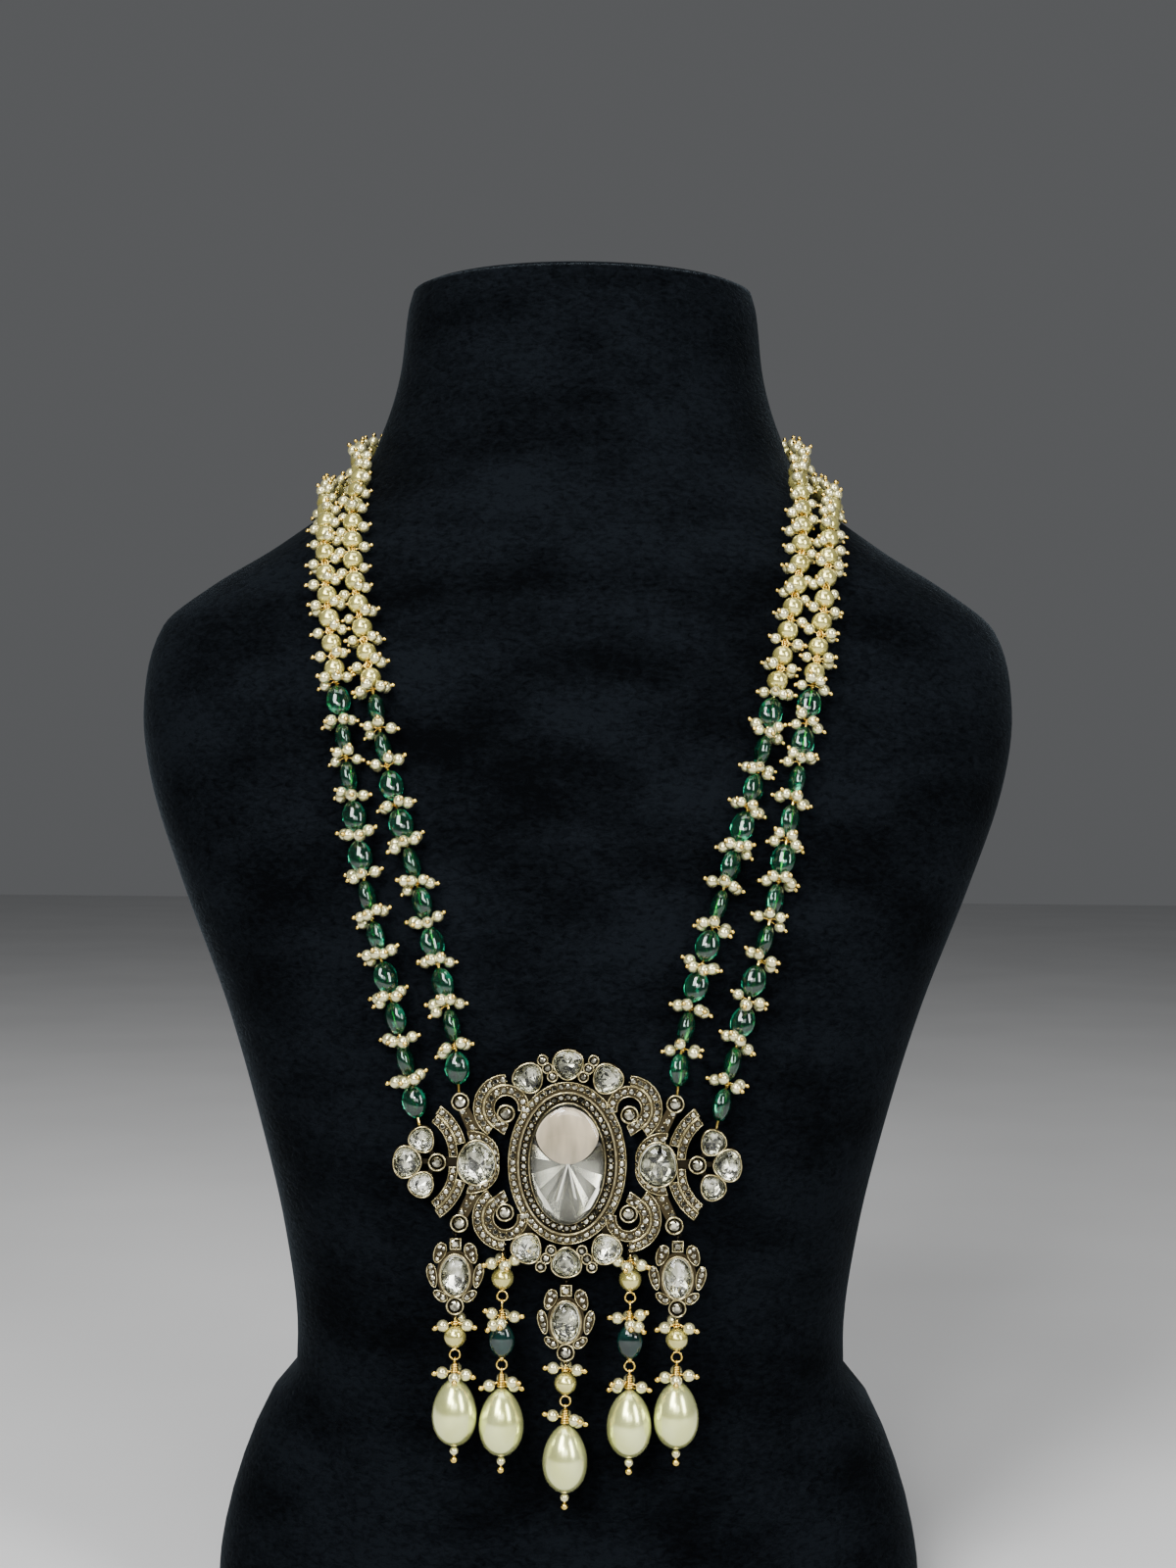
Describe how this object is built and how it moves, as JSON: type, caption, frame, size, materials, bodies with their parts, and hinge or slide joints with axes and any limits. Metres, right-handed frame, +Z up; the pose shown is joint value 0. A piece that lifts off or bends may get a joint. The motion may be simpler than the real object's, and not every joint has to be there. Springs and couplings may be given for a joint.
{
  "type": "kundan necklace on a neck bust",
  "caption": "Kundan necklace: an openwork stone-set pendant with pearl drops on two strands of green beads and pearls, on a black velvet neck bust.",
  "frame": {"origin": "on the floor, under the middle of the bust and necklace together", "axes": "+X to the right as seen from the front, +Y to the back, +Z up; the pendant faces -Y"},
  "size_m": [0.261, 0.1669, 0.394],
  "materials": {
    "velvet": "black velvet with a short nap",
    "gold": "antique gold plate, dark in the hollows and bright on the rims",
    "wire": "polished gold plate",
    "stone": "clear cut glass over silver foil",
    "pearl": "cream pearl lustre",
    "green": "deep green, polished",
    "thread": "gold-coloured beading thread"
  },
  "bodies": {
    "root": {"bust": "velvet", "pendant_frame": "gold", "centre_medallion": "gold", "left_medallion": "gold", "right_medallion": "gold", "pear_pins": "wire", "pearl_pins": "wire", "oval_pins": "wire", "clasp": "wire", "centre_stone": "stone", "top_petal": "stone", "bottom_petal": "stone", "upper_left_petal": "stone", "upper_right_petal": "stone", "lower_left_petal": "stone", "lower_right_petal": "stone", "round_stones": "stone", "leaf_stones": "stone", "centre_medallion_stone": "stone", "medallion_round_stones": "stone", "medallion_square_stones": "stone", "left_side_stone": "stone", "right_side_stone": "stone", "left_medallion_stone": "stone", "right_medallion_stone": "stone", "left_trefoil_stone_1": "stone", "left_trefoil_stone_2": "stone", "left_trefoil_stone_3": "stone", "right_trefoil_stone_1": "stone", "right_trefoil_stone_2": "stone", "right_trefoil_stone_3": "stone", "tip_pearls": "pearl", "left_inner_pearls": "pearl", "left_outer_pearls": "pearl", "right_inner_pearls": "pearl", "right_outer_pearls": "pearl", "drop_pearl_1": "pearl", "drop_pearl_2": "pearl", "drop_pearl_3": "pearl", "drop_pearl_4": "pearl", "drop_pearl_5": "pearl", "drop_pear_1": "pearl", "drop_pear_2": "pearl", "drop_pear_3": "pearl", "drop_pear_4": "pearl", "drop_pear_5": "pearl", "left_drop_oval_bead": "green", "right_drop_oval_bead": "green", "left_inner_green_beads": "green", "left_outer_green_beads": "green", "right_inner_green_beads": "green", "right_outer_green_beads": "green", "left_inner_thread": "thread", "left_outer_thread": "thread", "right_inner_thread": "thread", "right_outer_thread": "thread"}
  },
  "joints": []
}
